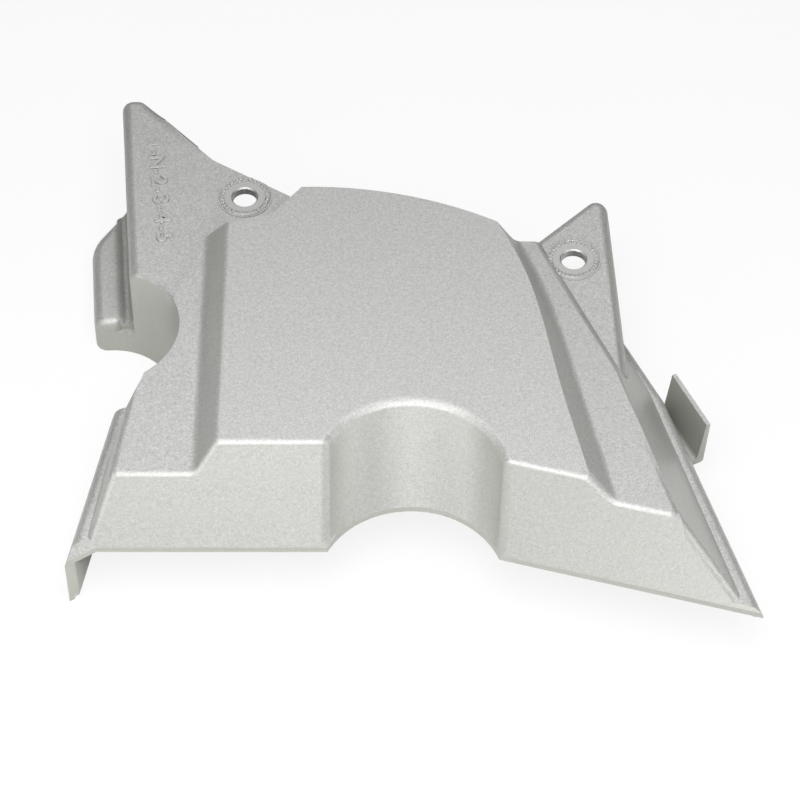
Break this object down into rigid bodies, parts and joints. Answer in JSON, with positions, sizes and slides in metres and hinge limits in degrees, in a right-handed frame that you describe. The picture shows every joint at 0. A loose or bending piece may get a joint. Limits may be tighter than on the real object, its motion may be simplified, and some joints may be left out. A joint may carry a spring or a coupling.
{
  "type": "motorcycle front sprocket cover",
  "caption": "Silver painted moulded cover for a small motorcycle's front sprocket, with fixing ears, steel collars, a raised centre, an arched cut-out and a clip tab.",
  "frame": {"origin": "on the left bolt hole's axis, in the underside of the ear plates", "axes": "+X along the front lip towards the right ear, +Y away from the lip, +Z out of the engine"},
  "size_m": [0.1838, 0.1773, 0.0377],
  "materials": {
    "paint": "silver metallic paint with a fine sparkle",
    "steel": "turned face, knurled outside"
  },
  "bodies": {
    "root": {"cover": "paint", "collar_left": "steel", "collar_right": "steel"}
  },
  "joints": []
}
